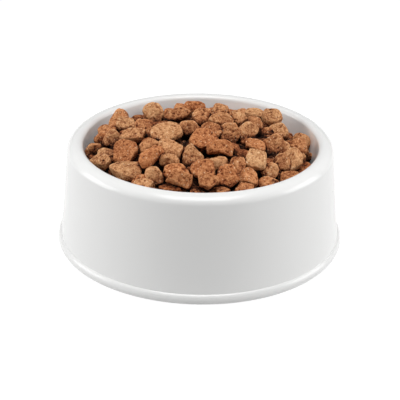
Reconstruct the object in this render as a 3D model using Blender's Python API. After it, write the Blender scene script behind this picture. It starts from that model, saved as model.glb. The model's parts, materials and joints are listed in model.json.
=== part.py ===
"""White pet food bowl heaped with kibble, at its real size, in metres with +Z up.

The bowl is one plastic moulding: a basin, a broad rolled rim and a flared skirt that ends in a
rounded bead, hollow between basin and skirt and open underneath. The kibbles lie in the basin.
Those that show most are pieces of their own, and the ones under them and round the far side are
joined into one bed. Each piece is let down until it meets what lies below it.
"""

import math
import random
from dataclasses import dataclass

import bmesh
import bpy
import numpy as np
from mathutils import Euler, Matrix

MM = 0.001
NO_AREA = 1e-14

# Bowl, outside
BOWL_HEIGHT = 66.5 * MM
FOOT_RADIUS = 90.0 * MM
BEAD_HEIGHT = 6.6 * MM
BEAD_DEPTH = 2.4 * MM
BEAD_PROUD = 1.9 * MM
SKIRT_FOOT_RADIUS = FOOT_RADIUS - BEAD_PROUD
SKIRT_WAIST_INSET = 2.1 * MM
SKIRT_WAIST_RADIUS = SKIRT_FOOT_RADIUS - SKIRT_WAIST_INSET
SKIRT_WAIST_HEIGHT = 23.2 * MM
RIM_RADIUS = 83.0 * MM
RIM_CREST_RADIUS = 76.0 * MM
RIM_DROP = 5.6 * MM

# Bowl, inside
WALL = 2.5 * MM
LIP_ROUNDING = 3.0 * MM
FLOOR_HEIGHT = 9.5 * MM
FLOOR_RADIUS = 60.0 * MM
FLOOR_FILLET = 12.0 * MM
ROUND_STEPS = 48

# Heap
SEAT_GAP = 0.4 * MM
HEAP_HEIGHT = 79.0 * MM
HEAP_EDGE_HEIGHT = 63.0 * MM
HEAP_TILT = 0.03
CORE_DEPTH = 14.0 * MM
CORE_RINGS = 10
CORE_STEPS = 36
SINK = 1.5 * MM
ROOT_RADIUS = 62.0 * MM
LUMPINESS = 0.055
SHIFT = 1.3 * MM
SHIFT_ROUNDS = 3
SHIFT_COST = 0.35
ROCK = 7.0
ROW_SPAN = 73.0

# Where kibbles that fill bare places go and how they lie, in the rows' units and degrees
FILL_RADIUS = 65.0
FILL_STEP = 2.5
FILL_LEAN = (-12.0, 12.0)
FILL_ROLL = (-15.0, 30.0)


@dataclass(frozen=True)
class Kind:
    """How one sort of kibble departs from an ellipsoid."""

    blunt: float
    bend: float = 0.0
    taper: float = 0.0
    dent: float = 0.0


DISC = Kind(blunt=2.4, dent=0.18)
OVAL = Kind(blunt=2.3, bend=14.0, taper=0.10)
STICK = Kind(blunt=3.0, bend=12.0)
CHUNK = Kind(blunt=3.3, taper=0.12, dent=0.10)
WEDGE = Kind(blunt=2.8, taper=0.50)
BEAN = Kind(blunt=2.5, bend=55.0, taper=0.08)
CURL = Kind(blunt=2.5, bend=135.0)


@dataclass(frozen=True)
class Row:
    """One kibble as laid: plan place and sizes in row units, angles in degrees.

    There are ROW_SPAN units to the lip's radius, so a unit is a millimetre at the bowl's own size.
    Turn is about the vertical, lean lifts the long axis, and roll is about the long axis.
    Rise is how far its top stands over the heap's mean surface.
    """

    x: float
    y: float
    length: float
    width: float
    thick: float
    turn: float
    lean: float
    roll: float
    kind: Kind
    rise: float = 0.0


@dataclass(frozen=True)
class Fill:
    """Kibbles that fill bare places: how near they come to others, and their ranges of size and rise."""

    reach: float
    length: tuple
    width: tuple
    thick: tuple
    rise: tuple
    seed: int


BARE_FILL = Fill(
    reach=4.8, length=(12.0, 15.0), width=(9.0, 11.0), thick=(8.0, 9.0), rise=(-5.0, -2.0), seed=7,
)
GAP_FILL = Fill(
    reach=4.2, length=(9.0, 12.0), width=(8.0, 10.0), thick=(7.0, 8.0), rise=(-10.0, -8.0), seed=9,
)

# Kibbles that show only in part, joined into the bed: left, middle, right
LOW_ROWS = (
    Row(-63, 21, 10, 8, 7, 60, 0, 10, OVAL, -3),
    Row(-42, 38, 9, 8, 8, 0, 10, 20, CHUNK, -1),
    Row(-27, 42, 11, 8, 7, 90, 40, 0, OVAL, 0),
    Row(-52, -30, 9, 8, 7, 10, 0, 20, CHUNK, -8),
    Row(-38, -34, 9, 8, 7, 0, 0, 20, OVAL, -9),
    Row(-35, -50, 9, 8, 7, 30, 0, 10, CHUNK, -6),
    Row(-45, -51, 12, 9, 8, -40, 0, 10, OVAL, -4),
    Row(-37, -19, 10, 8, 7, 0, 0, 20, OVAL, -8),
    Row(-31, -12, 11, 8, 7, 10, 5, 10, STICK, -4),
    Row(-24, -33, 9, 8, 7, 0, 0, 10, OVAL, -7),
    Row(-55, -37, 9, 8, 7, 0, 0, 10, CHUNK, -8),
    Row(-20, 44, 10, 9, 9, 0, 0, 40, OVAL, -1),
    Row(-13, 47, 11, 8, 8, -10, 0, 20, STICK, -2),
    Row(14, 36, 12, 9, 8, 15, 5, 20, CHUNK, -2),
    Row(22, 44, 11, 9, 8, 0, 0, 40, OVAL, -1),
    Row(-26, 6, 12, 9, 8, 15, 0, 20, OVAL, -2),
    Row(-24, 19, 11, 9, 8, 0, 0, 20, CHUNK, -2),
    Row(-7, -13, 10, 8, 7, 0, 0, 10, OVAL, -4),
    Row(-9, -22, 9, 8, 7, 0, 0, 20, CHUNK, -2),
    Row(3, -37, 9, 8, 7, 20, 0, 10, OVAL, -6),
    Row(16, -35, 11, 7, 7, 90, 40, 0, OVAL, -3),
    Row(-6, -41, 10, 7, 6, 0, 0, 10, OVAL, -5),
    Row(30, 46, 14, 9, 8, -5, 0, 20, OVAL, -1),
    Row(42, 12, 10, 8, 7, 10, 0, 20, OVAL, -3),
    Row(56, 27, 9, 8, 8, 0, 0, 40, OVAL, -5),
    Row(42, 28, 11, 9, 9, 0, 0, 20, OVAL, -1),
    Row(56, 12, 10, 8, 7, 0, 0, 20, CHUNK, -4),
    Row(67, -3, 10, 7, 7, 80, 0, 20, OVAL, -3),
    Row(53, -3, 10, 8, 7, -10, 0, 30, OVAL, -3),
    Row(64, -16, 11, 9, 8, -20, -5, 20, OVAL, -1),
    Row(26, -20, 11, 10, 8, -10, 0, 30, OVAL, -2),
    Row(46, -34, 9, 7, 6, 60, 20, 20, OVAL, -5),
    Row(23, -53, 9, 8, 7, 0, 0, 10, CHUNK, -8),
    Row(47, -43, 10, 8, 7, -20, 0, 10, CHUNK, -7),
)

# Kibbles with a place of their own, in the order they are laid: those under, then those on top
OWN_ROWS = (
    Row(-66, -5, 11, 8, 7, 0, 70, 90, OVAL, -1),
    Row(-62, 6, 14, 7, 6, 0, 75, 90, CURL, -1),
    Row(-59, 16, 11, 9, 8, 20, 10, 20, CHUNK, 0),
    Row(-53, 2, 12, 10, 9, 60, 35, 20, CHUNK, -1),
    Row(-53, 31, 13, 11, 8, 70, 40, 0, WEDGE, 3),
    Row(-46, 18, 14, 10, 8, -8, -5, 20, OVAL, 0),
    Row(-35, 2, 14, 10, 9, -30, -10, 30, OVAL, 0),
    Row(-31, 31, 14, 13, 8, 90, 55, 0, DISC, 1),
    Row(-57, -14, 11, 9, 7, 20, 5, 20, CHUNK, 0),
    Row(-46, -25, 15, 14, 9, 70, 35, 0, CHUNK, 0),
    Row(-30, -21, 15, 8, 8, 25, 10, 0, STICK, -1),
    Row(-61, -28, 14, 9, 8, -42, -10, 20, OVAL, 0),
    Row(-27, -48, 11, 11, 9, 90, 40, 0, DISC, -1),
    Row(-31, -56, 13, 9, 8, -20, 0, 10, OVAL, -2),
    Row(-4, 44, 14, 10, 8, 5, 0, 30, OVAL, 1),
    Row(8, 45, 13, 9, 8, -5, -3, 20, STICK, 0),
    Row(-8, 6, 16, 10, 8, -3, 0, 30, BEAN, 1),
    Row(0, 22, 12, 10, 9, 80, 25, 10, CHUNK, 0),
    Row(11, 19, 15, 9, 8, -5, -5, 30, BEAN, 0),
    Row(-16, -25, 14, 12, 10, -5, -5, 30, CHUNK, -1),
    Row(-16, -37, 13, 8, 8, -8, 0, 30, BEAN, -1),
    Row(-5, -31, 13, 11, 9, 90, 45, 0, CHUNK, 0),
    Row(8, -4, 11, 10, 9, 10, 0, 25, CHUNK, 1),
    Row(10, -40, 11, 8, 8, 35, 20, 20, OVAL, -1),
    Row(1, -45, 15, 12, 8, -5, 0, 20, DISC, -1),
    Row(35, 38, 14, 9, 8, -15, -5, 25, OVAL, 0),
    Row(46, 32, 12, 12, 9, 90, 35, 0, DISC, 3),
    Row(23, 21, 12, 9, 8, -35, -12, 30, BEAN, 0),
    Row(34, 20, 13, 9, 9, 90, 50, 0, CHUNK, 2),
    Row(31, 1, 17, 8, 8, 30, 10, 30, CURL, 2),
    Row(49, 20, 12, 11, 9, 30, 20, 20, CHUNK, 0),
    Row(63, 17, 12, 11, 9, 60, 40, 0, DISC, 0),
    Row(61, 3, 13, 11, 9, -30, -10, 25, OVAL, 0),
    Row(33, -14, 11, 10, 9, 0, 0, 35, CHUNK, -1),
    Row(43, -35, 12, 10, 8, 90, 40, 0, OVAL, -4),
    Row(41, -49, 13, 9, 8, -10, 0, 10, OVAL, -2),
    Row(29, -49, 13, 9, 8, 120, 40, 0, OVAL, 0),
    Row(53, -40, 14, 8, 8, 35, 0, 10, OVAL, -1),
    Row(-2, -63, 11, 9, 8, 0, 0, 10, OVAL, -4),
    Row(-17, -61, 14, 9, 8, -14, 0, 10, OVAL, -4),
    Row(12, -62, 13, 9, 8, 8, 0, 10, OVAL, -3),
    Row(25, -59, 14, 9, 8, 20, 0, 10, OVAL, -2),
    Row(22, -40, 14, 9, 8, 90, 55, 0, OVAL, 1),
    Row(-42, -7, 15, 9, 8, -8, -3, 20, STICK, 1),
    Row(-45, -43, 18, 16, 9, 0, 0, 15, DISC, 0),
    Row(-20, -8, 18, 16, 9, 0, 0, 15, DISC, 1),
    Row(-11, 26, 19, 8, 8, 0, 0, 60, CURL, 1),
    Row(1, -16, 16, 15, 8, 100, 32, 0, WEDGE, 0),
    Row(19, -5, 16, 11, 8, 90, 58, 0, DISC, 0),
    Row(44, -8, 18, 13, 8, 100, 55, 0, DISC, 1),
    Row(54, -22, 17, 13, 9, 60, 40, -10, DISC, 1),
    Row(12, -27, 19, 8, 8, 0, -3, 55, CURL, 1),
    Row(-14, -48, 18, 9, 8, -5, -3, 30, BEAN, 0),
    Row(15, -51, 13, 13, 8, 90, 40, 0, DISC, 0),
    Row(-12, -56, 17, 8, 8, -15, -6, 10, STICK, 1),
    Row(3, -56, 12, 10, 9, -10, -5, 35, OVAL, 0),
    Row(-30, -37, 17, 9, 8, 35, 22, 0, STICK, 1),
    Row(33, -35, 15, 12, 9, -10, -8, 40, OVAL, 2),
)


def arc(centre, reach, start, end, steps):
    """Points (radius, height) along an upright ellipse's arc, with both ends."""
    points = []
    for step in range(steps + 1):
        angle = math.radians(start + (end - start) * step / steps)
        points.append((centre[0] + reach[0] * math.cos(angle), centre[1] + reach[1] * math.sin(angle)))
    return points


def skirt(inset, steps):
    """Points down the flared skirt from the rim's side to its foot, moved in by inset."""
    top = (RIM_RADIUS, BOWL_HEIGHT - RIM_DROP)
    waist = (SKIRT_WAIST_RADIUS, SKIRT_WAIST_HEIGHT)
    foot = (SKIRT_FOOT_RADIUS, BEAD_HEIGHT)
    points = []
    for step in range(steps + 1):
        t = step / steps
        weights = ((1 - t) ** 2, 2 * t * (1 - t), t ** 2)
        radius, height = (sum(w * p[i] for w, p in zip(weights, (top, waist, foot))) for i in (0, 1))
        points.append((radius - inset, height))
    return points


def basin_line():
    """The basin's drafted wall inside: its lip end, and its direction down to the floor's edge."""
    lip = (RIM_CREST_RADIUS - LIP_ROUNDING, BOWL_HEIGHT - LIP_ROUNDING)
    run = (FLOOR_RADIUS - lip[0], FLOOR_HEIGHT - lip[1])
    size = math.hypot(*run)
    return lip, (run[0] / size, run[1] / size)


def basin(outward, steps=4):
    """Points of the basin from the middle of its floor up to its lip, moved outward from the inside face."""
    lip, down = basin_line()
    normal = (-down[1], down[0])
    floor = FLOOR_HEIGHT - outward
    top = (lip[0] + outward * normal[0], lip[1] + outward * normal[1])
    fillet = FLOOR_FILLET + outward
    centre_height = floor + fillet
    along = (centre_height - top[1] + fillet * normal[1]) / down[1]
    centre_radius = top[0] + along * down[0] - fillet * normal[0]
    wall_angle = math.degrees(math.atan2(normal[1], normal[0]))
    rounded = arc((centre_radius, centre_height), (fillet, fillet), -90.0, wall_angle, steps)
    return [(0.0, floor)] + rounded + [top]


def basin_radius(height):
    """Radius of the basin's inside face at a height on its straight wall."""
    lip, down = basin_line()
    return lip[0] + (height - lip[1]) * down[0] / down[1]


def row_unit():
    """Metres to one unit of the rows."""
    return basin_radius(BOWL_HEIGHT - LIP_ROUNDING) / ROW_SPAN


def bowl_outline():
    """The bowl's section, from the middle of its floor over the rim and back under the floor."""
    crest = (RIM_CREST_RADIUS, BOWL_HEIGHT - LIP_ROUNDING)
    lip = arc(crest, (LIP_ROUNDING, LIP_ROUNDING), 180.0, 90.0, 3)
    shoulder = (RIM_CREST_RADIUS, BOWL_HEIGHT - RIM_DROP)
    rim = arc(shoulder, (RIM_RADIUS - RIM_CREST_RADIUS, RIM_DROP), 90.0, 0.0, 5)
    bead_middle = (FOOT_RADIUS - BEAD_DEPTH, BEAD_HEIGHT / 2)
    bead_top = math.degrees(math.acos((SKIRT_FOOT_RADIUS - bead_middle[0]) / BEAD_DEPTH))
    bead = arc(bead_middle, (BEAD_DEPTH, BEAD_HEIGHT / 2), bead_top, -90.0, 6)
    inner_skirt = skirt(WALL, 4)[::-1]
    under_basin = basin(WALL)[::-1]
    hollow_top = under_basin[0]
    hollow_side = inner_skirt[-1]
    hollow_width = (hollow_side[0] - hollow_top[0]) / 2
    hollow_middle = (hollow_side[0] - hollow_width, hollow_side[1])
    hollow = arc(hollow_middle, (hollow_width, BOWL_HEIGHT - WALL - hollow_side[1]), 0.0, 180.0, 4)
    foot_inside = [(inner_skirt[0][0], 0.0)]
    return (
        basin(0.0)[:-1] + lip + rim[1:] + skirt(0.0, 5)[1:-1] + bead
        + foot_inside + inner_skirt + hollow[1:] + under_basin[1:]
    )


def spun_mesh(name, outline):
    """A closed mesh turned about Z from a section whose ends lie on the axis."""
    shape = bmesh.new()
    verts = [shape.verts.new((radius, 0.0, height)) for radius, height in outline]
    edges = [shape.edges.new(pair) for pair in zip(verts, verts[1:])]
    bmesh.ops.spin(
        shape, geom=verts + edges, cent=(0, 0, 0), axis=(0, 0, 1),
        angle=math.tau, steps=ROUND_STEPS, use_merge=True,
    )
    bmesh.ops.remove_doubles(shape, verts=shape.verts, dist=1e-6)
    bmesh.ops.recalc_face_normals(shape, faces=shape.faces)
    mesh = bpy.data.meshes.new(name)
    shape.to_mesh(mesh)
    shape.free()
    return mesh


def fine_ball():
    """A ball of 80 triangles, radius one, for the kibbles that show most."""
    shape = bmesh.new()
    bmesh.ops.create_icosphere(shape, subdivisions=2, radius=1.0)
    mesh = bpy.data.meshes.new("fine ball")
    shape.to_mesh(mesh)
    shape.free()
    return mesh


def block_ball():
    """A ball of 24 four-sided faces, radius one, for the bed's kibbles."""
    shape = bmesh.new()
    bmesh.ops.create_cube(shape, size=2.0)
    bmesh.ops.subdivide_edges(shape, edges=shape.edges, cuts=1, use_grid_fill=True)
    for vert in shape.verts:
        vert.co.normalize()
    mesh = bpy.data.meshes.new("block ball")
    shape.to_mesh(mesh)
    shape.free()
    return mesh


def mesh_arrays(mesh):
    """A mesh's points, and its faces as triangles."""
    mesh.calc_loop_triangles()
    points = np.array([vert.co[:] for vert in mesh.vertices])
    faces = np.array([triangle.vertices[:] for triangle in mesh.loop_triangles])
    return points, faces


def bend_points(points, half_length, degrees):
    """Curves the length of a shape along an arc in its own plane, ends towards -Y."""
    if not degrees:
        return points
    half_turn = math.radians(degrees) / 2
    radius = half_length / half_turn
    angle = points[:, 0] / half_length * half_turn
    across = radius + points[:, 1]
    middle = radius * (1 + math.cos(half_turn)) / 2
    return np.column_stack((across * np.sin(angle), across * np.cos(angle) - middle, points[:, 2]))


def kibble_points(ball, row, seed):
    """The points of one kibble about its own middle, turned as it lies."""
    kind = row.kind
    half = np.array((row.length, row.width, row.thick)) * row_unit() / 2
    blunt = (np.abs(ball) ** kind.blunt).sum(axis=1) ** (-1 / kind.blunt)
    chance = random.Random(seed)
    swell = np.ones(len(ball))
    for _ in range(3):
        wave = np.array([chance.uniform(-3.2, 3.2) for _ in range(3)])
        swell += LUMPINESS * np.sin(ball @ wave + chance.uniform(0, math.tau))
    points = ball * (blunt * swell)[:, None] * half
    along = points[:, 0] / half[0]
    points[:, 1] *= 1 - kind.taper * along
    flat = (points[:, :2] / half[:2]) ** 2
    upper = points[:, 2] > 0
    points[:, 2] -= upper * kind.dent * half[2] * np.exp(-3 * flat.sum(axis=1))
    points = bend_points(points, half[0], kind.bend)
    return turned(points - points.mean(axis=0), row.turn, row.lean, row.roll)


def turned(points, turn, lean, roll):
    """Points after a roll about X, a lean of X upwards and a turn about Z, in degrees."""
    angles = (math.radians(roll), math.radians(-lean), math.radians(turn))
    return points @ np.array(Euler(angles, "XYZ").to_matrix()).T


def heap_top(x, y):
    """Height of the heap's mean surface over a plan place."""
    out = min(1.0, math.hypot(x, y) / basin_radius(HEAP_EDGE_HEIGHT))
    return HEAP_HEIGHT - (HEAP_HEIGHT - HEAP_EDGE_HEIGHT) * out ** 2 - HEAP_TILT * x


def plan_place(row):
    """A row's place in the basin, in metres."""
    return row.x * row_unit(), row.y * row_unit()


def inside_wall(points, centre):
    """The centre moved towards the axis until every point clears the basin's wall."""
    centre = centre.copy()
    for _ in range(4):
        at = points + centre
        limit = basin_radius(np.minimum(at[:, 2], BOWL_HEIGHT - LIP_ROUNDING))
        over = (np.hypot(at[:, 0], at[:, 1]) - (limit - SEAT_GAP)).max()
        out = math.hypot(centre[0], centre[1])
        if over <= 0 or out == 0:
            return centre
        centre[:2] *= max(0.0, 1 - over / out)
    return centre


def facing(points, faces, sign):
    """The triangles that look up (sign 1) or down (sign -1), as corners."""
    corners = points[faces]
    rise = np.cross(corners[:, 1] - corners[:, 0], corners[:, 2] - corners[:, 0])[:, 2]
    return corners[rise * sign > 0]


def heights_under(spots, corners):
    """For each spot and triangle, the triangle's height at the spot, or NaN where it isn't over it."""
    start = corners[:, 0][None]
    b = (corners[:, 1] - corners[:, 0])[None]
    c = (corners[:, 2] - corners[:, 0])[None]
    area = b[..., 0] * c[..., 1] - c[..., 0] * b[..., 1]
    area = np.where(np.abs(area) < NO_AREA, np.nan, area)
    x = spots[:, 0][:, None] - start[..., 0]
    y = spots[:, 1][:, None] - start[..., 1]
    share_b = (x * c[..., 1] - c[..., 0] * y) / area
    share_c = (b[..., 0] * y - x * b[..., 1]) / area
    height = start[..., 2] + share_b * b[..., 2] + share_c * c[..., 2]
    return np.where((share_b >= 0) & (share_c >= 0) & (share_b + share_c <= 1), height, np.nan)


def sides(corners):
    """The sides of triangles, as pairs of ends."""
    return np.concatenate((corners[:, (0, 1)], corners[:, (1, 2)], corners[:, (2, 0)]))


def crossing_gaps(above, below):
    """Height of each upper side over each lower side that it crosses in plan, NaN elsewhere."""
    p, r = above[:, 0][:, None], (above[:, 1] - above[:, 0])[:, None]
    q, s = below[:, 0][None], (below[:, 1] - below[:, 0])[None]
    cross = r[..., 0] * s[..., 1] - r[..., 1] * s[..., 0]
    cross = np.where(np.abs(cross) < NO_AREA, np.nan, cross)
    gap = q - p
    t = (gap[..., 0] * s[..., 1] - gap[..., 1] * s[..., 0]) / cross
    u = (gap[..., 0] * r[..., 1] - gap[..., 1] * r[..., 0]) / cross
    found = (t >= 0) & (t <= 1) & (u >= 0) & (u <= 1)
    return np.where(found, p[..., 2] + t * r[..., 2] - q[..., 2] - u * s[..., 2], np.nan)


class Heap:
    """What has been laid so far, as the triangles that look up."""

    def __init__(self):
        self.corners = np.zeros((0, 3, 3))

    def add(self, points, faces):
        self.corners = np.concatenate((self.corners, facing(points, faces, 1)))

    def near(self, low, high):
        """The triangles whose plan box meets the box from low to high."""
        mins = self.corners.min(axis=1)
        maxs = self.corners.max(axis=1)
        found = (mins[:, :2] <= high).all(axis=1) & (maxs[:, :2] >= low).all(axis=1)
        return self.corners[found]


def fall(points, faces, laid):
    """How far a shape can come straight down before it meets the laid triangles."""
    under = facing(points, faces, -1)
    gaps = (
        points[:, 2][:, None] - heights_under(points, laid),
        (heights_under(laid.reshape(-1, 3), under) - laid.reshape(-1, 3)[:, 2][:, None]),
        crossing_gaps(sides(under), sides(laid)),
    )
    least = [np.nanmin(gap) for gap in gaps if gap.size and not np.isnan(gap).all()]
    return min(least) if least else 0.0


def let_down(points, faces, centre, laid):
    """The centre at which the shape rests a seat gap above the laid triangles."""
    centre = inside_wall(points, centre)
    drop = fall(points + centre, faces, laid)
    centre[2] -= drop - SEAT_GAP
    return centre


def wanted_centre(points, row):
    """The centre at which a row's kibble reaches its height on the heap."""
    x, y = plan_place(row)
    return np.array((x, y, heap_top(x, y) + row.rise * row_unit() - points[:, 2].max()))


def settle(points, faces, row, heap):
    """Lays one kibble: small shifts and tilts are tried until it lies near its wanted height."""
    wanted = wanted_centre(points, row)
    reach = np.abs(points).max() + SHIFT * SHIFT_ROUNDS
    laid = heap.near(wanted[:2] - reach, wanted[:2] + reach)

    def try_at(shape, place):
        centre = let_down(shape, faces, np.array((place[0], place[1], wanted[2])), laid)
        high = abs(centre[2] - wanted[2])
        cost = high + SHIFT_COST * math.hypot(centre[0] - wanted[0], centre[1] - wanted[1])
        return cost, centre, shape

    best = try_at(points, wanted)
    for lean in (-ROCK, 0.0, ROCK):
        for roll in (-ROCK, 0.0, ROCK):
            tilt = Matrix.Rotation(math.radians(lean), 3, "X") @ Matrix.Rotation(math.radians(roll), 3, "Y")
            tried = try_at(points @ np.array(tilt).T, wanted)
            best = min(best, tried, key=lambda found: found[0])
    for _ in range(SHIFT_ROUNDS):
        start = best[1]
        for east, north in ((1, 0), (-1, 0), (0, 1), (0, -1)):
            place = (start[0] + east * SHIFT, start[1] + north * SHIFT)
            tried = try_at(best[2], place)
            best = min(best, tried, key=lambda found: found[0])
    return best[2] + best[1]


def plan_reach(row):
    """Half of what a row's kibble covers in plan, on average, in row units."""
    return (row.length * math.cos(math.radians(row.lean)) + row.width) / 4


def fill_rows(taken, fill):
    """Kibbles for the places that the taken rows leave bare, ring by ring from the wall inwards."""
    chance = random.Random(fill.seed)
    kinds = (OVAL, CHUNK, DISC, BEAN)
    taken = list(taken)
    rows = []
    radius = FILL_RADIUS
    while radius > 0:
        count = round(math.tau * radius / FILL_STEP)
        for step in range(count):
            angle = math.tau * step / count
            x, y = radius * math.cos(angle), radius * math.sin(angle)
            if any(math.hypot(x - other.x, y - other.y) < fill.reach + plan_reach(other) for other in taken):
                continue
            row = Row(
                x, y, chance.uniform(*fill.length), chance.uniform(*fill.width),
                chance.uniform(*fill.thick), chance.uniform(0.0, 180.0), chance.uniform(*FILL_LEAN),
                chance.uniform(*FILL_ROLL), chance.choice(kinds), chance.uniform(*fill.rise),
            )
            taken.append(row)
            rows.append(row)
        radius -= FILL_STEP
    return tuple(rows)


def material(name, colour, roughness, coat=0.0):
    """A plain surface from an sRGB colour in steps of 255."""
    made = bpy.data.materials.new(name)
    made.use_nodes = True
    shader = made.node_tree.nodes["Principled BSDF"]
    shares = [step / 255 for step in colour]
    linear = [share / 12.92 if share < 0.04045 else ((share + 0.055) / 1.055) ** 2.4 for share in shares]
    shader.inputs["Base Color"].default_value = (*linear, 1.0)
    shader.inputs["Roughness"].default_value = roughness
    shader.inputs["Metallic"].default_value = 0.0
    shader.inputs["Coat Weight"].default_value = coat
    made.diffuse_color = (*linear, 1.0)
    return made


def add_object(name, mesh, surface):
    """An object for a mesh, shaded smooth except at its sharp edges."""
    mesh.materials.append(surface)
    mesh.shade_smooth()
    mesh.set_sharp_from_angle(angle=math.radians(50))
    made = bpy.data.objects.new(name, mesh)
    bpy.context.scene.collection.objects.link(made)
    return made


def mesh_from(name, points, faces):
    mesh = bpy.data.meshes.new(name)
    mesh.from_pydata(points.tolist(), [], faces.tolist())
    mesh.update()
    return mesh


def add_bowl(plastic):
    """The bowl, one moulding."""
    return add_object("bowl", spun_mesh("bowl", bowl_outline()), plastic)


def underside_at(x, y, shapes):
    """Height of the bed's core at a plan place: under the lowest wanted kibble there, else deep."""
    height = heap_top(x, y) - CORE_DEPTH
    for points, row in shapes:
        centre = wanted_centre(points, row)
        reach = np.hypot(points[:, 0], points[:, 1]).max()
        away = math.hypot(x - centre[0], y - centre[1]) / reach
        if away < 1:
            lowest = centre[2] + points[:, 2].min()
            lift = (centre[2] - lowest) * away ** 2
            height = min(height, lowest + lift - SEAT_GAP)
    return height


def core_point(radius, turn, height, shapes):
    """A point of the bed's core. With no height given it lies on the core's top, inside the wall."""
    x, y = radius * math.cos(turn), radius * math.sin(turn)
    if height is not None:
        return x, y, height
    height = underside_at(x, y, shapes)
    pull = min(1.0, (basin_radius(height) - SEAT_GAP) / radius)
    return x * pull, y * pull, height


def core_mesh(shapes):
    """The bed's core: turned to the basin's inside less the seat gap, its top shaped ring by ring."""
    side = basin(-SEAT_GAP, steps=3)[:-1]
    edge = basin_radius(HEAP_EDGE_HEIGHT) - SEAT_GAP
    rings = side[1:] + [(edge * (1 - ring / CORE_RINGS), None) for ring in range(CORE_RINGS)]
    shape = bmesh.new()
    loops = []
    for radius, height in rings:
        turns = [math.tau * step / CORE_STEPS for step in range(CORE_STEPS)]
        loops.append([shape.verts.new(core_point(radius, turn, height, shapes)) for turn in turns])
    for lower, upper in zip(loops, loops[1:]):
        for step, start in enumerate(lower):
            after = (step + 1) % CORE_STEPS
            shape.faces.new((start, lower[after], upper[after], upper[step]))
    bottom = shape.verts.new((0.0, 0.0, side[0][1]))
    top = shape.verts.new((0.0, 0.0, underside_at(0.0, 0.0, shapes)))
    for step in range(CORE_STEPS):
        after = (step + 1) % CORE_STEPS
        shape.faces.new((bottom, loops[0][after], loops[0][step]))
        shape.faces.new((top, loops[-1][step], loops[-1][after]))
    bmesh.ops.triangulate(shape, faces=shape.faces)
    mesh = bpy.data.meshes.new("kibble_bed")
    shape.to_mesh(mesh)
    shape.free()
    return mesh


def sunk(placed):
    """A let-down kibble sunk a little, clear of the wall."""
    middle = placed.mean(axis=0)
    shape = placed - middle
    return inside_wall(shape, middle - (0.0, 0.0, SINK)) + shape


def rooted(points, core_tops):
    """A bed kibble's points with the lowest one drawn down into the core."""
    points = points.copy()
    lowest = points[:, 2].argmin()
    out = math.hypot(points[lowest, 0], points[lowest, 1])
    spot = points[lowest, :2] * ROOT_RADIUS / max(out, ROOT_RADIUS)
    depth = np.nanmax(heights_under(spot[None], core_tops)) - SINK
    points[lowest] = (spot[0], spot[1], min(points[lowest, 2], depth))
    return points


def bed_lumps(ball, faces, heap):
    """The bed's own kibbles, joined to the core, as one mesh.

    They are let down one after another, and the deepest are pressed in between them.
    """
    laid = LOW_ROWS + fill_rows(OWN_ROWS + LOW_ROWS, BARE_FILL)
    pressed = fill_rows(OWN_ROWS + laid, GAP_FILL)
    core_tops = heap.corners
    points, triangles = [], []
    for seed, row in enumerate(laid + pressed, start=len(OWN_ROWS)):
        shape = kibble_points(ball, row, seed)
        if row in pressed:
            placed = inside_wall(shape, wanted_centre(shape, row)) + shape
        else:
            placed = sunk(settle(shape, faces, row, heap))
        placed = rooted(placed, core_tops)
        heap.add(placed, faces)
        triangles.append(faces + len(ball) * len(points))
        points.append(placed)
    return mesh_from("bed_lumps", np.concatenate(points), np.concatenate(triangles))


def add_bed(heap, shapes, surface):
    """The joined lower kibbles: a core turned to the basin, with the low kibbles on it."""
    core = core_mesh(shapes)
    heap.add(*mesh_arrays(core))
    bed = add_object("kibble_bed", core, surface)
    lumps = add_object("bed_lumps", bed_lumps(*mesh_arrays(block_ball()), heap), surface)
    lumps.hide_render = True
    lumps.display_type = "WIRE"
    union = bed.modifiers.new("low kibbles", "BOOLEAN")
    union.operation = "UNION"
    union.solver = "EXACT"
    union.use_self = True
    union.object = lumps
    return bed


def add_kibbles(heap, shapes, ball_faces, surfaces):
    """The kibbles with a place of their own, laid one after another."""
    for number, (points, row) in enumerate(shapes, start=1):
        placed = settle(points, ball_faces, row, heap)
        heap.add(placed, ball_faces)
        middle = placed.mean(axis=0)
        name = f"kibble_{number:02d}"
        mesh = mesh_from(name, placed - middle, ball_faces)
        kibble = add_object(name, mesh, surfaces[number % len(surfaces)])
        kibble.location = middle


def main():
    for old in list(bpy.data.objects):
        bpy.data.objects.remove(old)
    plastic = material("white plastic", (240, 240, 240), 0.28, coat=0.3)
    crumbs = [
        material("kibble light", (206, 144, 98), 0.9),
        material("kibble", (186, 124, 82), 0.9),
        material("kibble dark", (160, 100, 62), 0.9),
    ]
    bowl = add_bowl(plastic)
    heap = Heap()
    ball, faces = mesh_arrays(fine_ball())
    shapes = [(kibble_points(ball, row, seed), row) for seed, row in enumerate(OWN_ROWS)]
    add_bed(heap, shapes, crumbs[2])
    heap.add(*mesh_arrays(bowl.data))
    add_kibbles(heap, shapes, faces, crumbs)


if __name__ == "__main__":
    main()
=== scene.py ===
"""White moulded pet food bowl heaped with baked kibble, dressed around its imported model.

The bowl is spun again from a finer section. Each kibble is grown from its own solid: it is rounded,
cut flat where the blade and its neighbours flattened it, and crumbled and pitted. Small kibbles lie
wedged between the others. Sizes are in metres, with +Z up.
"""

import json
import logging
import math
import random
from collections.abc import Callable, Mapping, Sequence
from dataclasses import dataclass
from enum import Enum

import bmesh
import bpy
import numpy as np
from mathutils import Euler, Matrix, Vector, noise
from mathutils.bvhtree import BVHTree

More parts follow.
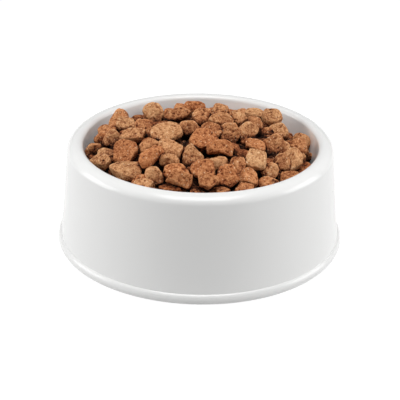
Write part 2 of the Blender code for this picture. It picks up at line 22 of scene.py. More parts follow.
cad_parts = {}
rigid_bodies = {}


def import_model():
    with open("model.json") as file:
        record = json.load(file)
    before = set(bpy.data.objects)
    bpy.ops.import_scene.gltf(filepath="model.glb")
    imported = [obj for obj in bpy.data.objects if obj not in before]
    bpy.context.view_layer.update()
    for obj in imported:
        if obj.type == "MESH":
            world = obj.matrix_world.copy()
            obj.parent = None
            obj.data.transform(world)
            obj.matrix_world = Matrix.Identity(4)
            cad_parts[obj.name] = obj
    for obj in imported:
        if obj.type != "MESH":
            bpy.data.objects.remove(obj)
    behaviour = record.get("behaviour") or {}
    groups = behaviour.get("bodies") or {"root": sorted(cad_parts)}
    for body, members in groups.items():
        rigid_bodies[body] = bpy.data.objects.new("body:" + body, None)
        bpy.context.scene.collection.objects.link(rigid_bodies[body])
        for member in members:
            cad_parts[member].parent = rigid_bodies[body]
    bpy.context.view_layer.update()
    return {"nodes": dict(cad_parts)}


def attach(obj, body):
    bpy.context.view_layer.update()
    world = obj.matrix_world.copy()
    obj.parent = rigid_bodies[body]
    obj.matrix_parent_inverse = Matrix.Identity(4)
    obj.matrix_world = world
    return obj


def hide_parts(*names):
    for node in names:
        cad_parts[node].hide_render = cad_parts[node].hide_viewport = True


MM = 0.001
MERGE = 0.001 * MM
CAD_MERGE = 0.01 * MM
WHITE = (1.0, 1.0, 1.0, 1.0)
BODY = "root"
LOG = logging.getLogger("filled_pet_bowl")

Outline = list[tuple[float, float]]


class Slot(Enum):
    """The record's material slots."""

    PLASTIC = "white_plastic"
    KIBBLE = "kibble"


def linear(hex_colour: str) -> tuple[float, float, float, float]:
    """Turns an sRGB hex colour to linear red, green, blue and a full alpha.

    Args:
        hex_colour: six hex digits after a hash.

    Returns:
        The four linear channels.
    """
    steps = [int(hex_colour[i : i + 2], 16) / 255 for i in (1, 3, 5)]
    red, green, blue = (s / 12.92 if s <= 0.04045 else ((s + 0.055) / 1.055) ** 2.4 for s in steps)
    return red, green, blue, 1.0


def add_node(
    tree: bpy.types.NodeTree,
    kind: str,
    settings: Mapping[str | int, object] | None = None,
    links: Mapping[str | int, bpy.types.NodeSocket] | None = None,
) -> bpy.types.Node:
    """Adds a node with its settings and links.

    Args:
        tree: the material's or world's node tree.
        kind: the node's type.
        settings: values by property name, or by an input's name or number.
        links: the output that feeds each input, by the input's name or number.

    Returns:
        The new node.
    """
    node = tree.nodes.new(kind)
    for name, value in (settings or {}).items():
        if isinstance(name, str) and hasattr(node, name):
            setattr(node, name, value)
        else:
            node.inputs[name].default_value = value
    for name, source in (links or {}).items():
        tree.links.new(source, node.inputs[name])
    return node


def new_material(name: str) -> tuple[bpy.types.Material, bpy.types.NodeTree]:
    """Makes an empty node material.

    Args:
        name: the material's name.

    Returns:
        The material and its node tree.
    """
    material = bpy.data.materials.new(name)
    material.use_nodes = True
    material.node_tree.nodes.clear()
    return material, material.node_tree


def colour_ramp(node: bpy.types.Node, stops: Sequence[tuple[float, str]]) -> None:
    """Sets a colour ramp's stops.

    Args:
        node: the ramp node.
        stops: place along the ramp and sRGB hex colour, in order.
    """
    elements = node.color_ramp.elements
    while len(elements) < len(stops):
        elements.new(1.0)
    for element, (place, colour) in zip(elements, stops):
        element.position = place
        element.color = linear(colour)


def finished(shape: bmesh.types.BMesh, name: str) -> bpy.types.Mesh:
    """Turns a bmesh into a smooth-shaded mesh and frees it.

    Args:
        shape: the bmesh.
        name: the mesh's name.

    Returns:
        The mesh.
    """
    mesh = bpy.data.meshes.new(name)
    shape.to_mesh(mesh)
    shape.free()
    mesh.shade_smooth()
    return mesh


def place(
    mesh: bpy.types.Mesh, material: bpy.types.Material, slot: Slot, replaced: Sequence[str] = ()
) -> bpy.types.Object:
    """Adds a finished mesh to the scene, on the bowl's body.

    Args:
        mesh: the mesh, with its place in its points.
        material: what it is made of.
        slot: the record's slot for that material; not used.
        replaced: the CAD nodes that the piece stands for.

    Returns:
        The new object.
    """
    mesh.materials.clear()
    mesh.materials.append(material)
    piece = bpy.data.objects.new(mesh.name, mesh)
    bpy.context.scene.collection.objects.link(piece)
    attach(piece, BODY)
    if replaced:
        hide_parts(*replaced)
    LOG.info("%s: %d faces", piece.name, len(mesh.polygons))
    return piece


def merged_copy(node: bpy.types.Object) -> bmesh.types.BMesh:
    """Copies a CAD node's loose triangles and joins them at their corners.

    Args:
        node: the CAD node's object.

    Returns:
        The joined copy.
    """
    shape = bmesh.new()
    shape.from_mesh(node.data)
    bmesh.ops.remove_doubles(shape, verts=shape.verts, dist=CAD_MERGE)
    return shape


def scattered_dots(
    tree: bpy.types.NodeTree,
    place_on: bpy.types.NodeSocket,
    spacing: float,
    radius: float,
    core: float,
    strength: float = 1.0,
) -> bpy.types.NodeSocket:
    """Adds the nodes for small soft dots, scattered by a cell pattern.

    Args:
        tree: the material's node tree.
        place_on: the place on the piece.
        spacing: how far apart the dots lie.
        radius: a dot's radius.
        core: the share of the radius within which a dot is full.
        strength: the value in a full dot.

    Returns:
        The value's output, 0 between the dots.
    """
    cells = add_node(tree, "ShaderNodeTexVoronoi", {"Scale": 1 / spacing}, {"Vector": place_on})
    dots = add_node(
        tree, "ShaderNodeMapRange",
        {
            "From Min": core * radius / spacing, "From Max": radius / spacing,
            "To Min": strength, "To Max": 0.0,
        },
        {"Value": cells.outputs["Distance"]},
    )
    return dots.outputs["Result"]


def arc(
    centre: tuple[float, float], reach: tuple[float, float], span: tuple[float, float], steps: int
) -> Outline:
    """Points along an upright ellipse's arc, with both ends.

    Args:
        centre: the ellipse's middle, as radius and height.
        reach: half its width and half its height.
        span: first and last angle in degrees, from outward and towards up.
        steps: how many chords.

    Returns:
        The points, as radius and height.
    """
    angles = [math.radians(span[0] + (span[1] - span[0]) * step / steps) for step in range(steps + 1)]
    return [(centre[0] + reach[0] * math.cos(a), centre[1] + reach[1] * math.sin(a)) for a in angles]


@dataclass(frozen=True)
class MouldedPolypropylene:
    """White injection-moulded polypropylene.

    The polished mould gives a soft gloss, the resin cools with a faint ripple, and a few dark specks
    are moulded in.
    """

    colour: str = "#F1F1F0"
    speck: str = "#8F8A84"
    speck_spacing: float = 12.0 * MM
    speck_radius: float = 0.4 * MM
    speck_core: float = 0.6
    roughness: tuple[float, float] = (0.16, 0.21)
    ior: float = 1.49
    ripple_size: float = 14.0 * MM
    ripple_height: float = 0.012 * MM
    dull_size: float = 45.0 * MM
    dull_span: tuple[float, float] = (0.2, 0.8)
    noise_detail: float = 1.0

    def make(self) -> bpy.types.Material:
        """Makes the material."""
        material, tree = new_material("injection moulded white polypropylene")
        place_on = add_node(tree, "ShaderNodeTexCoord").outputs["Object"]
        ripple, dull = (
            add_node(
                tree, "ShaderNodeTexNoise", {"Scale": 1 / size, "Detail": self.noise_detail},
                {"Vector": place_on},
            )
            for size in (self.ripple_size, self.dull_size)
        )
        bump = add_node(
            tree, "ShaderNodeBump", {"Strength": 1.0, "Distance": self.ripple_height},
            {"Height": ripple.outputs["Fac"]},
        )
        gloss = add_node(
            tree, "ShaderNodeMapRange",
            {
                "From Min": self.dull_span[0], "From Max": self.dull_span[1],
                "To Min": self.roughness[0], "To Max": self.roughness[1],
            },
            {"Value": dull.outputs["Fac"]},
        )
        specks = scattered_dots(
            tree, place_on, self.speck_spacing, self.speck_radius, self.speck_core
        )
        specked = add_node(
            tree, "ShaderNodeMix",
            {"data_type": "RGBA", 6: linear(self.colour), 7: linear(self.speck)}, {0: specks},
        )
        shader = add_node(
            tree, "ShaderNodeBsdfPrincipled", {"IOR": self.ior},
            {
                "Base Color": specked.outputs[2], "Roughness": gloss.outputs["Result"],
                "Normal": bump.outputs["Normal"],
            },
        )
        add_node(tree, "ShaderNodeOutputMaterial", None, {"Surface": shader.outputs["BSDF"]})
        return material


@dataclass(frozen=True)
class BakedCrumb:
    """Baked and extruded meal: a matt brown crust, darker in its pores and holes and lighter on its toasted
    raised crumbs, partly its own colour and partly painted shade and painted light.

    The tone attribute runs from 0 in pits or in the painted shade of gaps to 1 on a crumb, and the warmth
    attribute says how red a kibble was baked. The grain and the flecks are drawn as coarse as the render
    can show.
    """

    # The two darkest stops are painted shade: the near black of the gaps between kibbles, and the dark
    # brown of pores and holes over the crust's own darker pores.
    gap_shade: str = "#120806"
    pit_shade: str = "#47291A"
    shade: str = "#935C3C"
    crust: str = "#CA9466"
    crumb: str = "#ECBC8C"
    fleck: str = "#FBE0B8"
    blush: str = "#F4D8C8"
    stops: tuple[float, ...] = (0.0, 0.16, 0.34, 0.55, 0.8, 1.0)
    roughness: float = 0.85
    specular: float = 0.12
    grain_size: float = 0.8 * MM
    grain_detail: float = 4.0
    grain_roughness: float = 0.65
    grain_share: float = 0.5
    grain_height: float = 0.28 * MM
    fleck_spacing: float = 2.6 * MM
    fleck_radius: float = 0.55 * MM
    fleck_core: float = 0.5
    fleck_share: float = 0.9

    def make(self) -> bpy.types.Material:
        """Makes the material."""
        material, tree = new_material("baked kibble crumb")
        place_on = add_node(tree, "ShaderNodeTexCoord").outputs["Object"]
        tone = add_node(tree, "ShaderNodeAttribute", {"attribute_name": "tone"})
        grain = add_node(
            tree, "ShaderNodeTexNoise",
            {
                "Scale": 1 / self.grain_size, "Detail": self.grain_detail,
                "Roughness": self.grain_roughness,
            },
            {"Vector": place_on},
        )
        centred = add_node(
            tree, "ShaderNodeMath", {"operation": "SUBTRACT", 1: 0.5}, {0: grain.outputs["Fac"]}
        )
        mixed = add_node(
            tree, "ShaderNodeMath", {"operation": "MULTIPLY_ADD", 1: self.grain_share * 2},
            {0: centred.outputs[0], 2: tone.outputs["Fac"]},
        )
        colours = add_node(tree, "ShaderNodeValToRGB", None, {"Fac": mixed.outputs[0]})
        tones = (self.gap_shade, self.pit_shade, self.shade, self.crust, self.crumb, self.fleck)
        colour_ramp(colours, list(zip(self.stops, tones)))
        warmth = add_node(tree, "ShaderNodeAttribute", {"attribute_name": "warmth"})
        warmed = add_node(
            tree, "ShaderNodeMix", {"data_type": "RGBA", "blend_type": "MULTIPLY", 7: linear(self.blush)},
            {0: warmth.outputs["Fac"], 6: colours.outputs["Color"]},
        )
        flecks = scattered_dots(
            tree, place_on, self.fleck_spacing, self.fleck_radius, self.fleck_core, self.fleck_share
        )
        # The flecks fade with the tone, so they also fade in pores, holes and the painted shade.
        toned_flecks = add_node(
            tree, "ShaderNodeMath", {"operation": "MULTIPLY"}, {0: flecks, 1: tone.outputs["Fac"]}
        )
        flecked = add_node(
            tree, "ShaderNodeMix", {"data_type": "RGBA", 7: linear(self.fleck)},
            {0: toned_flecks.outputs[0], 6: warmed.outputs[2]},
        )
        bump = add_node(
            tree, "ShaderNodeBump", {"Strength": 1.0, "Distance": self.grain_height},
            {"Height": grain.outputs["Fac"]},
        )
        shader = add_node(
            tree, "ShaderNodeBsdfPrincipled",
            {"Roughness": self.roughness, "Specular IOR Level": self.specular},
            {"Base Color": flecked.outputs[2], "Normal": bump.outputs["Normal"]},
        )
        add_node(tree, "ShaderNodeOutputMaterial", None, {"Surface": shader.outputs["BSDF"]})
        return material


@dataclass
class Bowl:
    """The bowl: basin, broad rolled rim, flared skirt and beaded foot in one moulding."""

    node: str = "bowl"
    height: float = 66.5 * MM
    foot_radius: float = 90.0 * MM
    bead_height: float = 6.6 * MM
    bead_depth: float = 2.4 * MM
    skirt_foot_radius: float = 88.1 * MM
    skirt_waist: tuple[float, float] = (86.0 * MM, 23.2 * MM)
    rim_radius: float = 83.0 * MM
    crest_radius: float = 76.0 * MM
    rim_drop: float = 5.6 * MM
    wall: float = 2.5 * MM
    lip_rounding: float = 3.0 * MM
    floor_height: float = 9.5 * MM
    floor_radius: float = 60.0 * MM
    floor_fillet: float = 12.0 * MM
    fillet_steps: int = 12
    lip_steps: int = 8
    rim_steps: int = 14
    skirt_steps: int = 16
    bead_steps: int = 16
    hollow_steps: int = 10
    round_steps: int = 192
    sharp_from: float = 50.0

    def skirt(self, inset: float) -> Outline:
        """Points down the flared skirt from the rim's side to its foot.

        Args:
            inset: how far the points are moved in.

        Returns:
            The points, as radius and height.
        """
        ends = (self.rim_radius, self.height - self.rim_drop), (self.skirt_foot_radius, self.bead_height)
        corners = (ends[0], self.skirt_waist, ends[1])
        points = []
        for step in range(self.skirt_steps + 1):
            t = step / self.skirt_steps
            weights = ((1 - t) ** 2, 2 * t * (1 - t), t**2)
            radius, height = (sum(w * c[i] for w, c in zip(weights, corners)) for i in (0, 1))
            points.append((radius - inset, height))
        return points

    def basin(self, outward: float) -> Outline:
        """Points of the basin from the middle of its floor up to its lip.

        Args:
            outward: how far the points are moved out from the inside face.

        Returns:
            The points, as radius and height.
        """
        lip = (self.crest_radius - self.lip_rounding, self.height - self.lip_rounding)
        run = (self.floor_radius - lip[0], self.floor_height - lip[1])
        size = math.hypot(*run)
        down = (run[0] / size, run[1] / size)
        normal = (-down[1], down[0])
        floor = self.floor_height - outward
        top = (lip[0] + outward * normal[0], lip[1] + outward * normal[1])
        fillet = self.floor_fillet + outward
        along = (floor + fillet - top[1] + fillet * normal[1]) / down[1]
        middle = (top[0] + along * down[0] - fillet * normal[0], floor + fillet)
        wall_angle = math.degrees(math.atan2(normal[1], normal[0]))
        rounded = arc(middle, (fillet, fillet), (-90.0, wall_angle), self.fillet_steps)
        return [(0.0, floor)] + rounded + [top]

    def outline(self) -> Outline:
        """The whole section, from the floor's middle over the rim and back under the floor."""
        crest = (self.crest_radius, self.height - self.lip_rounding)
        lip = arc(crest, (self.lip_rounding, self.lip_rounding), (180.0, 90.0), self.lip_steps)
        shoulder = (self.crest_radius, self.height - self.rim_drop)
        rim_reach = (self.rim_radius - self.crest_radius, self.rim_drop)
        rim = arc(shoulder, rim_reach, (90.0, 0.0), self.rim_steps)
        middle = (self.foot_radius - self.bead_depth, self.bead_height / 2)
        top_angle = math.degrees(math.acos((self.skirt_foot_radius - middle[0]) / self.bead_depth))
        bead_reach = (self.bead_depth, self.bead_height / 2)
        bead = arc(middle, bead_reach, (top_angle, -90.0), self.bead_steps)
        inner_skirt = self.skirt(self.wall)[::-1]
        under_basin = self.basin(self.wall)[::-1]
        side = inner_skirt[-1]
        width = (side[0] - under_basin[0][0]) / 2
        hollow_reach = (width, self.height - self.wall - side[1])
        hollow = arc((side[0] - width, side[1]), hollow_reach, (0.0, 180.0), self.hollow_steps)
        return (
            self.basin(0.0)[:-1] + lip + rim[1:] + self.skirt(0.0)[1:-1] + bead
            + [(inner_skirt[0][0], 0.0)] + inner_skirt + hollow[1:] + under_basin[1:]
        )

    def build(self, finish: bpy.types.Material) -> bpy.types.Object:
        """Spins the section and dresses it.

        Args:
            finish: the plastic.

        Returns:
            The bowl.
        """
        shape = bmesh.new()
        verts = [shape.verts.new((radius, 0.0, height)) for radius, height in self.outline()]
        edges = [shape.edges.new(pair) for pair in zip(verts, verts[1:])]
        bmesh.ops.spin(
            shape, geom=verts + edges, cent=(0, 0, 0), axis=(0, 0, 1),
            angle=math.tau, steps=self.round_steps, use_merge=True,
        )
        bmesh.ops.remove_doubles(shape, verts=shape.verts, dist=MERGE)
        bmesh.ops.recalc_face_normals(shape, faces=shape.faces)
        mesh = finished(shape, "moulded_bowl")
        mesh.set_sharp_from_angle(angle=math.radians(self.sharp_from))
        return place(mesh, finish, Slot.PLASTIC, [self.node])


def smooth(shape: bmesh.types.BMesh, rounds: int) -> None:
    """Relaxes every point towards its neighbours.

    Args:
        shape: the bmesh.
        rounds: how many times.
    """
    for _ in range(rounds):
        bmesh.ops.smooth_vert(
            shape, verts=shape.verts, factor=0.5, use_axis_x=True, use_axis_y=True, use_axis_z=True
        )


def search_tree(meshes: Sequence[bpy.types.Mesh]) -> BVHTree:
    """Joins meshes for measuring distances to them.

    Args:
        meshes: the meshes, in place.

    Returns:
        The search tree of all their faces.
    """
    points: list[Vector] = []
    faces: list[list[int]] = []
    for mesh in meshes:
        faces += [[len(points) + index for index in face.vertices] for face in mesh.polygons]
        points += [vert.co for vert in mesh.vertices]
    return BVHTree.FromPolygons(points, faces)


def even_net(shape: bmesh.types.BMesh, voxel: float, rounding: int) -> bmesh.types.BMesh:
    """Remakes a closed shape as an even net of small faces and rounds its edges.

    Args:
        shape: the closed shape, which is freed.
        voxel: the side of a face.
        rounding: how many times the net is relaxed.

    Returns:
        The net.
    """
    helper = bpy.data.objects.new("net in the making", finished(shape, "net in the making"))
    bpy.context.scene.collection.objects.link(helper)
    remesh = helper.modifiers.new("net", "REMESH")
    remesh.mode = "VOXEL"
    remesh.voxel_size = voxel
    made = bpy.data.meshes.new_from_object(helper.evaluated_get(bpy.context.evaluated_depsgraph_get()))
    bpy.data.objects.remove(helper)
    net = bmesh.new()
    net.from_mesh(made)
    smooth(net, rounding)
    return net


@dataclass(frozen=True)
class Relief:
    """How a baked surface departs from a smooth one, with the tone that goes with it.

    Lumps bend the outline, crumbs and grit roughen it, pores are ragged and shallow, and a few
    holes go deeper. The faces that the blade cut are rougher than the skin and have more pores.
    The tone is lighter on the raised relief and darker in pores and holes: the crust's own mottling,
    with painted light on what is raised and painted shade in the recesses.
    """

    lump_size: float = 6.5 * MM
    lump_height: float = 0.5 * MM
    lump_tone: float = 0.08
    crumb_size: float = 2.4 * MM
    crumb_height: float = 0.26 * MM
    crumb_tone: float = 0.16
    grit_size: float = 1.1 * MM
    grit_height: float = 0.14 * MM
    grit_tone: float = 0.18
    pore_size: float = 1.9 * MM
    pore_depth: float = 0.3 * MM
    pore_level: float = 0.36
    pore_ramp: float = 0.3
    pore_tone: float = 0.2
    hole_spacing: float = 8.5 * MM
    hole_radius: float = 0.8 * MM
    hole_depth: float = 0.6 * MM
    hole_tone: float = 0.36
    cut_from: float = 0.7
    cut_rise: float = 5.0
    cut_pores: float = 0.12
    cut_tone: float = 0.02
    skin_rough: float = 0.7
    cut_rough: float = 0.5
    tones: tuple[float, float] = (0.47, 0.61)

    def apply(
        self, mesh: bpy.types.Mesh, seed: int, painted_shade: Callable[[Vector], float], blade: Vector | None = None
    ) -> None:
        """Moves a mesh's points along their normals, and stores their tone and the piece's warmth.

        Args:
            mesh: the mesh to roughen.
            seed: where in the noise the pattern is taken, and which tone the piece gets.
            painted_shade: how much the painted shade darkens a place.
            blade: the direction whose two ends the blade cut, rougher than the skin, if any.
        """
        chance = random.Random(seed)
        offset = Vector(chance.uniform(-1, 1) for _ in range(3))
        tone = chance.uniform(*self.tones)
        warmth = chance.uniform(0.0, 1.0)
        tones = np.empty(len(mesh.vertices))
        moved = np.empty((len(mesh.vertices), 3))
        normals = [normal.vector.copy() for normal in mesh.vertex_normals]
        for vert, normal in zip(mesh.vertices, normals):
            at = vert.co + offset
            cut = 0.0
            if blade is not None:
                cut = min(1.0, max(0.0, abs(normal.dot(blade)) - self.cut_from) * self.cut_rise)
            lump = noise.noise(at / self.lump_size)
            crumb = noise.noise(at / self.crumb_size)
            grit = noise.noise(at / self.grit_size)
            open_at = self.pore_level - self.cut_pores * cut
            pore = min(1.0, max(0.0, noise.noise(at.yzx / self.pore_size) - open_at) / self.pore_ramp)
            away = noise.voronoi(at / self.hole_spacing)[0][0] * self.hole_spacing / self.hole_radius
            hole = max(0.0, 1.0 - away**2)
            rough = self.skin_rough + self.cut_rough * cut
            lift = self.lump_height * lump + rough * (self.crumb_height * crumb + self.grit_height * grit)
            lift -= self.pore_depth * pore * rough + self.hole_depth * hole
            moved[vert.index] = vert.co + normal * lift
            # The tone rises on raised lumps, crumbs and grit and falls in pores and holes: the crust's own
            # mottling, with painted light on the raised relief and painted shade in its recesses.
            tones[vert.index] = (
                tone + self.lump_tone * lump + self.crumb_tone * crumb + self.grit_tone * grit
                - self.pore_tone * pore - self.hole_tone * hole
            )
            # Painted shade darkens the tone deep in the heap and where pieces touch; the blade's cut faces
            # are a little darker in their own colour.
            tones[vert.index] -= self.cut_tone * cut + painted_shade(vert.co)
        mesh.vertices.foreach_set("co", moved.astype(np.float32).ravel())
        for name, values in (("tone", tones), ("warmth", np.full(len(tones), warmth))):
            stored = mesh.attributes.new(name, "FLOAT", "POINT")
            stored.data.foreach_set("value", np.clip(values, 0.0, 1.0).astype(np.float32))
        mesh.update()


@dataclass(frozen=True)
class HeapSurface:
    """The rounded surface that the heap's kibbles reach up to."""

    crown: float = 79.0 * MM
    edge: float = 63.0 * MM
    radius: float = 72.0 * MM
    tilt: float = 0.03

    def depth(self, at: Vector) -> float:
        """How far a place lies under the heap's surface."""
        out = min(1.0, math.hypot(at.x, at.y) / self.radius)
        return self.crown - (self.crown - self.edge) * out**2 - self.tilt * at.x - at.z


@dataclass
class PaintedShade:
    """Painted shade on a kibble: darker low in the heap, and close to the pieces that it touches."""

    others: BVHTree
    surface: HeapSurface
    # Painted shade: where it starts and grows under the heap's surface, how dark it gets there, and how far
    # and how dark it reaches in the creases where pieces touch.
    low_from: float = 3.5 * MM
    low_span: float = 7.5 * MM
    low: float = 0.58
    contact_shade_reach: float = 2.8 * MM
    contact_shade: float = 0.6

    def at(self, place_at: Vector) -> float:
        """How much the painted shade darkens the tone at a place.

        Args:
            place_at: the place.

        Returns:
            What is taken off the tone there.
        """
        # Painted shade deep in the heap, and in the creases close to other pieces.
        low = self.low * min(1.0, max(0.0, (self.surface.depth(place_at) - self.low_from) / self.low_span))
        found = self.others.find_nearest(place_at, self.contact_shade_reach)[3]
        near = 0.0 if found is None else 1.0 - found / self.contact_shade_reach
        return low + self.contact_shade * near**2


@dataclass
class Kibble:
    """One kibble in sight, grown from its own solid.

    The dough leaves the die with a smooth skin and is cut by a blade, so it has two flat ends
    with crisp rims, and its sides are flattened where it met others while it was soft.
    """

    seed: int
    coarse_cuts: int = 3
    coarse_rounding: int = 2
    blade_reach: tuple[float, float] = (0.5, 0.7)
    end_reach: tuple[float, float] = (0.74, 0.9)
    side_reach: tuple[float, float] = (0.62, 0.92)
    side_cuts: tuple[int, int] = (2, 4)
    tilt: float = 0.22
    stick_ratio: float = 1.45
    voxel: float = 0.38 * MM
    rounding: int = 2
    swell: float = 1.1

    def axes(self, shape: bmesh.types.BMesh) -> tuple[list[Vector], list[float]]:
        """The kibble's own axes and its spread along them, the thinnest first.

        Args:
            shape: the kibble.

        Returns:
            The three axes and the three spreads.
        """
        points = np.array([vert.co[:] for vert in shape.verts])
        spread, axes = np.linalg.eigh(np.cov((points - points.mean(axis=0)).T))
        return [Vector(axes[:, i]) for i in range(3)], [math.sqrt(value) for value in spread]

    def slice_off(self, shape: bmesh.types.BMesh, along: Vector, reach: float) -> None:
        """Cuts the shape flat across a direction and closes the cut.

        Args:
            shape: the kibble.
            along: the direction that the cut faces.
            reach: the cut's place, as a share of the kibble's reach that way.
        """
        middle = sum((vert.co for vert in shape.verts), Vector()) / len(shape.verts)
        farthest = max((vert.co - middle).dot(along) for vert in shape.verts)
        bmesh.ops.bisect_plane(
            shape, geom=shape.verts[:] + shape.edges[:] + shape.faces[:], dist=MERGE,
            plane_co=middle + along * farthest * reach, plane_no=along, clear_outer=True,
        )
        bmesh.ops.holes_fill(shape, edges=shape.edges, sides=0)

    def shaped(self, shape: bmesh.types.BMesh) -> tuple[bmesh.types.BMesh, Vector]:
        """Rounds a lump, cuts its flats and holds its volume.

        Args:
            shape: the lump, which is freed.

        Returns:
            The kibble and the direction of the blade.
        """
        chance = random.Random(self.seed)
        volume = shape.calc_volume()
        bmesh.ops.subdivide_edges(shape, edges=shape.edges, cuts=self.coarse_cuts, use_grid_fill=True)
        smooth(shape, self.coarse_rounding)
        (short, middle, long), spread = self.axes(shape)
        directions = [(short, self.blade_reach), (-short, self.blade_reach)]
        if spread[2] > self.stick_ratio * spread[1]:
            directions += [(long, self.end_reach), (-long, self.end_reach)]
        for _ in range(chance.randint(*self.side_cuts)):
            turn = chance.uniform(0.0, math.tau)
            directions.append((middle * math.cos(turn) + long * math.sin(turn), self.side_reach))
        for along, reach in directions:
            lean = Vector(chance.uniform(-self.tilt, self.tilt) for _ in range(3))
            self.slice_off(shape, (along + lean).normalized(), chance.uniform(*reach))
        net = even_net(shape, self.voxel, self.rounding)
        centre = sum((vert.co for vert in net.verts), Vector()) / len(net.verts)
        scale = (self.swell * volume / net.calc_volume()) ** (1 / 3)
        bmesh.ops.scale(net, verts=net.verts, vec=(scale,) * 3, space=Matrix.Translation(-centre))
        return net, short

    def build(self, lump: bmesh.types.BMesh, name: str, relief: Relief, painted_shade: PaintedShade) -> bpy.types.Mesh:
        """Makes a kibble of a lump.

        Args:
            lump: the lump, in its place.
            name: the mesh's name.
            relief: how rough it is.
            painted_shade: the painted shade, darker deep in the heap and where pieces touch.

        Returns:
            The kibble's mesh.
        """
        shape, blade = self.shaped(lump)
        mesh = finished(shape, name)
        relief.apply(mesh, self.seed, painted_shade.at, blade)
        return mesh


@dataclass
class KibbleBed:
    """The kibbles under and behind those in sight, joined as in their solid."""

    node: str = "kibble_bed"
    voxel: float = 0.92 * MM
    rounding: int = 2
    seed: int = 400

    def build(self, finish: bpy.types.Material, relief: Relief, painted_shade: PaintedShade) -> bpy.types.Object:
        """Makes the bed and puts it in the place of its node.

        Args:
            finish: the baked crumb.
            relief: how rough it is.
            painted_shade: the painted shade, darker deep in the heap and where pieces touch.

        Returns:
            The bed.
        """
        shape = even_net(merged_copy(bpy.data.objects[self.node]), self.voxel, self.rounding)
        mesh = finished(shape, "baked_kibble_bed")
        relief.apply(mesh, self.seed, painted_shade.at)
        return place(mesh, finish, Slot.KIBBLE, [self.node])


@dataclass
class WedgedKibbles:
    """Small kibbles that lie low between the others, where the bed would show bare."""

    surface: HeapSurface
    seed: int = 5
    bare_from: tuple[float, ...] = (5.0 * MM, 8.5 * MM)
    step: float = 2.5 * MM
    spacing: float = 9.0 * MM
    reach: float = 66.0 * MM
    above: float = 0.2
    first_seed: int = 500
    sizes: tuple[tuple[float, float], ...] = (
        (5.0 * MM, 6.8 * MM), (4.2 * MM, 5.6 * MM), (3.2 * MM, 4.0 * MM),
    )
    lift: float = 0.3
    lean: float = 0.8
    # Painted shade on these kibbles: how dark they get deep in the heap and where they touch others.
    low: float = 0.46
    contact_shade: float = 0.35
    voxel: float = 0.65 * MM

    def spots(self, heap: BVHTree, bare_from: float) -> list[Vector]:
        """Finds the bare places, the deepest first.

        Args:
            heap: all that lies in the bowl.
            bare_from: how deep a place lies at least.

        Returns:
            The places on what lies there.
        """
        count = int(self.reach / self.step)
        steps = [self.step * i for i in range(-count, count + 1)]
        found = []
        for x, y in ((x, y) for x in steps for y in steps if math.hypot(x, y) < self.reach):
            spot = heap.ray_cast(Vector((x, y, self.above)), Vector((0.0, 0.0, -1.0)))[0]
            if spot is not None and self.surface.depth(spot) > bare_from:
                found.append(spot)
        found.sort(key=self.surface.depth, reverse=True)
        kept = []
        for spot in found:
            if all((spot - other).to_2d().length > self.spacing for other in kept):
                kept.append(spot)
        return kept

    def lump(self, spot: Vector, chance: random.Random) -> bmesh.types.BMesh:
        """A rounded lump that lies on a place.

        Args:
            spot: the place.
            chance: the source of its size and turn.

        Returns:
            The lump.
        """
        shape = bmesh.new()
        bmesh.ops.create_icosphere(shape, subdivisions=2, radius=1.0)
        size = Vector(chance.uniform(*span) for span in self.sizes)
        leans = [chance.uniform(-self.lean, self.lean) for _ in range(2)]
        turn = Euler((*leans, chance.uniform(0.0, math.tau)))
        bmesh.ops.scale(shape, verts=shape.verts, vec=size)
        bmesh.ops.rotate(shape, verts=shape.verts, cent=(0, 0, 0), matrix=turn.to_matrix())
        bmesh.ops.translate(shape, verts=shape.verts, vec=spot + Vector((0.0, 0.0, self.lift * size.z)))
        return shape

    def build(self, finish: bpy.types.Material, relief: Relief, solids: Sequence[bpy.types.Mesh]) -> None:
        """Makes them all, layer on layer.

        Args:
            finish: the baked crumb.
            relief: how rough they are.
            solids: all that lies in the bowl.
        """
        chance = random.Random(self.seed)
        lumps: list[bpy.types.Mesh] = []
        for layer, bare_from in enumerate(self.bare_from, start=1):
            heap = search_tree([*solids, *lumps])
            # Painted shade from all that already lies in the bowl.
            painted_shade = PaintedShade(heap, self.surface, low=self.low, contact_shade=self.contact_shade)
            joined = bmesh.new()
            for spot in self.spots(heap, bare_from):
                lump = self.lump(spot, chance)
                lumps.append(finished(lump.copy(), "lump"))
                seed = self.first_seed + len(lumps)
                kibble = Kibble(seed, coarse_cuts=1, coarse_rounding=0, voxel=self.voxel)
                joined.from_mesh(kibble.build(lump, "wedged kibble", relief, painted_shade))
            place(finished(joined, f"wedged_kibbles_{layer}"), finish, Slot.KIBBLE)


@dataclass
class Heap:
    """All the kibble in the bowl."""

    surface: HeapSurface = HeapSurface()

    def build(self, finish: bpy.types.Material, nodes: Sequence[str]) -> None:
        """Builds the bed and every kibble.

        Args:
            finish: the baked crumb.
            nodes: the names of the nodes of the kibbles in sight.
        """
        relief = Relief()
        bed = KibbleBed()
        solids = {node: bpy.data.objects[node].data for node in [*sorted(nodes), bed.node]}
        for number, (node, solid) in enumerate(solids.items(), start=1):
            tree = search_tree([other for other in solids.values() if other is not solid])
            # Painted shade from the other solids, deep in the heap and where this piece touches them.
            painted_shade = PaintedShade(tree, self.surface)
            if node == bed.node:
                bed.build(finish, relief, painted_shade)
            else:
                lump = merged_copy(bpy.data.objects[node])
                mesh = Kibble(number).build(lump, f"baked_{node}", relief, painted_shade)
                place(mesh, finish, Slot.KIBBLE, [node])
        WedgedKibbles(self.surface).build(finish, relief, list(solids.values()))


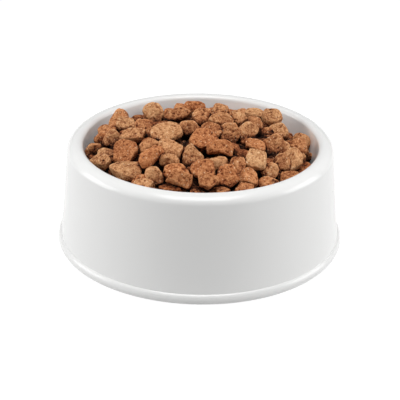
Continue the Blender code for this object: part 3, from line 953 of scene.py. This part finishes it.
@dataclass
class Studio:
    """Pale floor, white surround, soft lamps and the camera."""

    eye_distance: float = 0.86
    eye_height: float = 26.2
    target: tuple[float, float, float] = (0.0, 0.0, 0.0248)
    roll: float = 0.87
    lens: float = 121.8
    sensor_width: float = 36.0
    clip_start: float = 0.01
    world_strength: float = 0.24
    lamp_size: float = 0.6
    lamps: tuple[tuple[str, tuple[float, float, float], float], ...] = (
        ("overhead lamp", (0.0, -0.2, 0.88), 5.2),
        ("left lamp", (-0.9, 0.0, 0.24), 4.2),
        ("right lamp", (0.9, 0.0, 0.24), 4.2),
    )
    floor_size: float = 3.0
    paper: str = "#CCCCCC"
    seen_paper: str = "#6E6E6E"
    glow: float = 0.92

    def camera(self) -> None:
        """Puts the camera where the photo was taken from."""
        angle = math.radians(self.eye_height)
        back = Vector((0.0, -math.cos(angle), math.sin(angle)))
        data = bpy.data.cameras.new("camera")
        data.lens = self.lens
        data.sensor_width = self.sensor_width
        data.clip_start = self.clip_start
        eye = bpy.data.objects.new("camera", data)
        bpy.context.scene.collection.objects.link(eye)
        facing = (-back).to_track_quat("-Z", "Y").to_matrix().to_4x4()
        turn = facing @ Matrix.Rotation(math.radians(self.roll), 4, "Z")
        eye.matrix_world = Matrix.Translation(Vector(self.target) + back * self.eye_distance) @ turn
        bpy.context.scene.camera = eye

    def lamp(self, name: str, spot: Sequence[float], watts: float) -> None:
        """Adds a soft square lamp that faces the bowl.

        Args:
            name: the lamp's name.
            spot: where it hangs.
            watts: its power.
        """
        data = bpy.data.lights.new(name, "AREA")
        data.size = self.lamp_size
        data.energy = watts
        lamp = bpy.data.objects.new(name, data)
        lamp.location = spot
        lamp.rotation_euler = (Vector(self.target) - Vector(spot)).to_track_quat("-Z", "Y").to_euler()
        bpy.context.scene.collection.objects.link(lamp)

    def seen_white(self, tree: bpy.types.NodeTree) -> bpy.types.NodeSocket:
        """A factor that is 1 for rays from the camera, and from gloss and glass.

        Args:
            tree: the node tree that uses it.

        Returns:
            The factor's output.
        """
        path = add_node(tree, "ShaderNodeLightPath")
        gloss = add_node(
            tree, "ShaderNodeMath", {"operation": "MAXIMUM"},
            {0: path.outputs["Is Camera Ray"], 1: path.outputs["Is Glossy Ray"]},
        )
        either = add_node(
            tree, "ShaderNodeMath", {"operation": "MAXIMUM"},
            {0: gloss.outputs[0], 1: path.outputs["Is Transmission Ray"]},
        )
        return either.outputs[0]

    def floor(self) -> None:
        """Lays the pale floor. It looks white to the camera, and still takes a faint shadow."""
        shape = bmesh.new()
        bmesh.ops.create_grid(shape, x_segments=1, y_segments=1, size=self.floor_size)
        floor = bpy.data.objects.new("floor", finished(shape, "floor"))
        bpy.context.scene.collection.objects.link(floor)
        material, tree = new_material("matt white paper")
        paper = add_node(tree, "ShaderNodeBsdfDiffuse", {"Color": linear(self.paper)})
        shaded = add_node(tree, "ShaderNodeBsdfDiffuse", {"Color": linear(self.seen_paper)})
        glow = add_node(tree, "ShaderNodeEmission", {"Strength": self.glow})
        seen = add_node(tree, "ShaderNodeAddShader", None, {0: shaded.outputs[0], 1: glow.outputs[0]})
        mix = add_node(
            tree, "ShaderNodeMixShader", None,
            {0: self.seen_white(tree), 1: paper.outputs[0], 2: seen.outputs[0]},
        )
        add_node(tree, "ShaderNodeOutputMaterial", None, {"Surface": mix.outputs[0]})
        floor.data.materials.append(material)

    def surround(self) -> None:
        """Sets the world: soft grey light on the bowl, white where the camera sees it."""
        world = bpy.data.worlds.new("studio")
        bpy.context.scene.world = world
        world.use_nodes = True
        tree = world.node_tree
        tree.nodes.clear()
        soft, white = (
            add_node(tree, "ShaderNodeBackground", {"Color": WHITE, "Strength": strength})
            for strength in (self.world_strength, 1.0)
        )
        path = add_node(tree, "ShaderNodeLightPath")
        mix = add_node(
            tree, "ShaderNodeMixShader", None,
            {0: path.outputs["Is Camera Ray"], 1: soft.outputs[0], 2: white.outputs[0]},
        )
        add_node(tree, "ShaderNodeOutputWorld", None, {"Surface": mix.outputs[0]})

    def build(self) -> None:
        """Sets up the whole studio."""
        self.camera()
        self.floor()
        self.surround()
        for name, spot, watts in self.lamps:
            self.lamp(name, spot, watts)
        bpy.context.scene.view_settings.view_transform = "Standard"


def main() -> None:
    """Builds the bowl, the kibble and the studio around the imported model."""
    logging.basicConfig(level=logging.INFO, format="%(message)s")
    for old in list(bpy.data.objects):
        bpy.data.objects.remove(old)
    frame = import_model()
    Studio().build()
    Bowl().build(MouldedPolypropylene().make())
    loose = [name for name in frame["nodes"] if name not in (Bowl.node, KibbleBed.node)]
    Heap().build(BakedCrumb().make(), loose)


if __name__ == "__main__":
    main()
